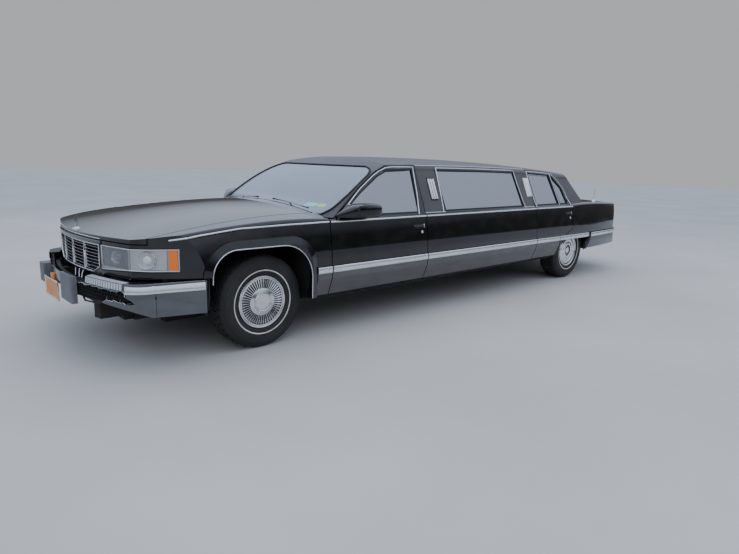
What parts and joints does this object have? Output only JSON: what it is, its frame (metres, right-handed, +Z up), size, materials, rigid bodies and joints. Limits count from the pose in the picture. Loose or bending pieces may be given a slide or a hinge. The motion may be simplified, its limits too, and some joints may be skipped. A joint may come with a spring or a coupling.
{
  "type": "stretch limousine",
  "caption": "Long road passenger saloon with hinged doors, hood and boot lid, steered front wheels and a partitioned cabin.",
  "frame": {"origin": "on the ground under the middle of the car's overall length, on its centre plane", "axes": "+X forward, +Y to the car's left, +Z up"},
  "size_m": [7.261, 2.2, 1.45],
  "materials": {
    "paint": "gloss black",
    "vinyl": "grained",
    "chrome": "polished",
    "clad": "mirror",
    "glass_dark": "tinted",
    "glass_clear": "clear",
    "lamp": "clear lens",
    "lamp_red": "red lens",
    "lamp_white": "ribbed lens",
    "tyre": "black rubber with a thin white ring",
    "black": "satin",
    "foam": "cellular",
    "grey": "satin",
    "steel": "underbody black",
    "iron": "rough",
    "leather": "smooth",
    "plate": "plain blank"
  },
  "bodies": {
    "car": {"antenna": "chrome", "bumper_absorber": "foam", "bumper_guards": "grey", "centre_panels": "paint", "chassis_frame": "steel", "cowl_panel": "black", "dashboard": "black", "engine_block": "iron", "exhaust_system": "steel", "fixed_windows": "glass_dark", "floor_pan": "steel", "front_bumper": "chrome", "front_fender_left": "paint", "front_fender_right": "paint", "front_plate": "plate", "front_seat": "leather", "fuel_tank": "steel", "grille": "chrome", "headlamps": "lamp", "nose_panel": "black", "opera_lamps": "lamp_white", "partition": "black", "rear_axle": "iron", "rear_bumper": "clad", "rear_quarter_left": "paint", "rear_quarter_right": "paint", "rear_seats": "leather", "roof_shell": "vinyl", "side_trim": "clad", "steering_wheel": "black", "suspension": "iron", "tail_lamps": "lamp_red", "wheel_housings": "steel", "windshield": "glass_clear", "wipers": "black"},
    "hood": {"hood_panel": "paint", "hood_trim": "chrome"},
    "boot": {"boot_lid": "paint"},
    "door_front_left_body": {"door_front_left": "paint", "door_front_glass_left": "glass_dark", "door_front_trim_left": "clad"},
    "door_rear_left_body": {"door_rear_left": "paint", "door_rear_glass_left": "glass_dark", "door_rear_trim_left": "clad"},
    "knuckle_left_body": {"knuckle_left": "iron"},
    "wheel_front_left_body": {"tyre_front_left": "tyre", "wheel_front_left": "chrome"},
    "wheel_rear_left_body": {"tyre_rear_left": "tyre", "wheel_rear_left": "chrome"},
    "door_front_right_body": {"door_front_right": "paint", "door_front_glass_right": "glass_dark", "door_front_trim_right": "clad"},
    "door_rear_right_body": {"door_rear_right": "paint", "door_rear_glass_right": "glass_dark", "door_rear_trim_right": "clad"},
    "knuckle_right_body": {"knuckle_right": "iron"},
    "wheel_front_right_body": {"tyre_front_right": "tyre", "wheel_front_right": "chrome"},
    "wheel_rear_right_body": {"tyre_rear_right": "tyre", "wheel_rear_right": "chrome"}
  },
  "joints": [
    {"name": "hood_lift", "type": "hinge", "parent": "car", "child": "hood", "pos_m": [1.8235, 0, 1.052], "axis": [0, -1, 0], "range_deg": [0, 50]},
    {"name": "boot_lift", "type": "hinge", "parent": "car", "child": "boot", "pos_m": [-2.4995, 0, 1], "axis": [0, 1, 0], "range_deg": [0, 70]},
    {"name": "door_front_left_swing", "type": "hinge", "parent": "car", "child": "door_front_left_body", "pos_m": [1.8985, 0.992, 0.7], "axis": [0, 0, -1], "range_deg": [0, 65]},
    {"name": "door_rear_left_swing", "type": "hinge", "parent": "car", "child": "door_rear_left_body", "pos_m": [-1.1525, 0.992, 0.7], "axis": [0, 0, -1], "range_deg": [0, 65]},
    {"name": "steer_left", "type": "hinge", "parent": "car", "child": "knuckle_left_body", "pos_m": [2.4935, 0.7685, 0.355], "axis": [0, 0, 1], "range_deg": [-33, 33]},
    {"name": "wheel_front_left_spin", "type": "hinge", "parent": "knuckle_left_body", "child": "wheel_front_left_body", "pos_m": [2.4935, 0.7835, 0.355], "axis": [0, 1, 0], "continuous": true},
    {"name": "wheel_rear_left_spin", "type": "hinge", "parent": "car", "child": "wheel_rear_left_body", "pos_m": [-2.1165, 0.771, 0.355], "axis": [0, 1, 0], "continuous": true},
    {"name": "door_front_right_swing", "type": "hinge", "parent": "car", "child": "door_front_right_body", "pos_m": [1.8985, -0.992, 0.7], "axis": [0, 0, 1], "range_deg": [0, 65]},
    {"name": "door_rear_right_swing", "type": "hinge", "parent": "car", "child": "door_rear_right_body", "pos_m": [-1.1525, -0.992, 0.7], "axis": [0, 0, 1], "range_deg": [0, 65]},
    {"name": "steer_right", "type": "hinge", "parent": "car", "child": "knuckle_right_body", "pos_m": [2.4935, -0.7685, 0.355], "axis": [0, 0, 1], "range_deg": [-33, 33]},
    {"name": "wheel_front_right_spin", "type": "hinge", "parent": "knuckle_right_body", "child": "wheel_front_right_body", "pos_m": [2.4935, -0.7835, 0.355], "axis": [0, 1, 0], "continuous": true},
    {"name": "wheel_rear_right_spin", "type": "hinge", "parent": "car", "child": "wheel_rear_right_body", "pos_m": [-2.1165, -0.771, 0.355], "axis": [0, 1, 0], "continuous": true}
  ],
  "couplings": [
    {"joint": "steer_right", "follows": "steer_left", "ratio": 1}
  ]
}
